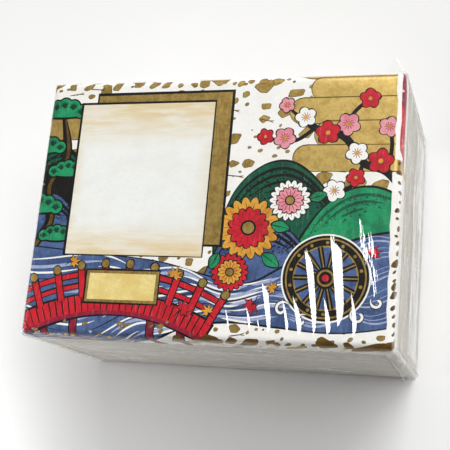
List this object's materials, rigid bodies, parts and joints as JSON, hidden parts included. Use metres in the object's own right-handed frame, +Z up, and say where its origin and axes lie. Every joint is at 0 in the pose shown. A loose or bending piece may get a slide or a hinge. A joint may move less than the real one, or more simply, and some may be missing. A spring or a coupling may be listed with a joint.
{
  "type": "karuta card deck",
  "caption": "Shrink-wrapped paper box of karuta playing cards: a printed full-depth lid lifts off a tray that holds two piles of thick cards, which lift out.",
  "frame": {"origin": "middle of the underside, on the table", "axes": "+X along the box's long side to the right, +Y from the front to the back, +Z up through the lid"},
  "size_m": [0.1146, 0.083, 0.063],
  "materials": {
    "greyboard": "raw greyboard",
    "white_paper": "smooth white wrapping paper",
    "printed_paper": "many-coloured print with gold flakes on white, no lettering",
    "clear_film": "clear glossy shrink film",
    "card_stock": "thick white card with a plain green back"
  },
  "bodies": {
    "tray": {"tray_board": "greyboard", "tray_wrap_paper": "white_paper", "film_base_sheet": "clear_film"},
    "left_pile": {"left_lower_cards": "card_stock", "left_card_26": "card_stock", "left_card_27": "card_stock", "left_card_28": "card_stock", "left_card_29": "card_stock", "left_card_30": "card_stock", "left_card_31": "card_stock", "left_card_32": "card_stock", "left_card_33": "card_stock", "left_card_34": "card_stock", "left_card_35": "card_stock", "left_card_36": "card_stock", "left_card_37": "card_stock", "left_card_38": "card_stock", "left_card_39": "card_stock", "left_card_40": "card_stock", "left_card_41": "card_stock", "left_card_42": "card_stock", "left_card_43": "card_stock", "left_card_44": "card_stock", "left_card_45": "card_stock", "left_card_46": "card_stock", "left_card_47": "card_stock", "left_card_48": "card_stock", "left_card_49": "card_stock"},
    "left_top_card": {"left_card_50": "card_stock"},
    "right_pile": {"right_lower_cards": "card_stock", "right_card_26": "card_stock", "right_card_27": "card_stock", "right_card_28": "card_stock", "right_card_29": "card_stock", "right_card_30": "card_stock", "right_card_31": "card_stock", "right_card_32": "card_stock", "right_card_33": "card_stock", "right_card_34": "card_stock", "right_card_35": "card_stock", "right_card_36": "card_stock", "right_card_37": "card_stock", "right_card_38": "card_stock", "right_card_39": "card_stock", "right_card_40": "card_stock", "right_card_41": "card_stock", "right_card_42": "card_stock", "right_card_43": "card_stock", "right_card_44": "card_stock", "right_card_45": "card_stock", "right_card_46": "card_stock", "right_card_47": "card_stock", "right_card_48": "card_stock", "right_card_49": "card_stock"},
    "right_top_card": {"right_card_50": "card_stock"},
    "lid": {"lid_board": "greyboard", "lid_side_paper": "white_paper", "lid_print_sheet": "printed_paper"},
    "film": {"film_sleeve": "clear_film"}
  },
  "joints": [
    {"name": "left_pile_lift", "type": "slide", "parent": "tray", "child": "left_pile", "axis": [0, 0, 1], "range_m": [0, 0.062]},
    {"name": "right_pile_lift", "type": "slide", "parent": "tray", "child": "right_pile", "axis": [0, 0, 1], "range_m": [0, 0.062]},
    {"name": "left_card_draw", "type": "slide", "parent": "left_pile", "child": "left_top_card", "axis": [0, 0, 1], "range_m": [0, 0.03]},
    {"name": "right_card_draw", "type": "slide", "parent": "right_pile", "child": "right_top_card", "axis": [0, 0, 1], "range_m": [0, 0.03]},
    {"name": "lid_lift", "type": "slide", "parent": "left_top_card", "child": "lid", "axis": [0, 0, 1], "range_m": [0, 0.062]},
    {"name": "film_pull", "type": "slide", "parent": "lid", "child": "film", "axis": [0, 0, 1], "range_m": [0, 0.064]}
  ],
  "couplings": [
    {"joint": "right_pile_lift", "follows": "left_pile_lift", "ratio": 1},
    {"joint": "right_card_draw", "follows": "left_card_draw", "ratio": 1}
  ]
}
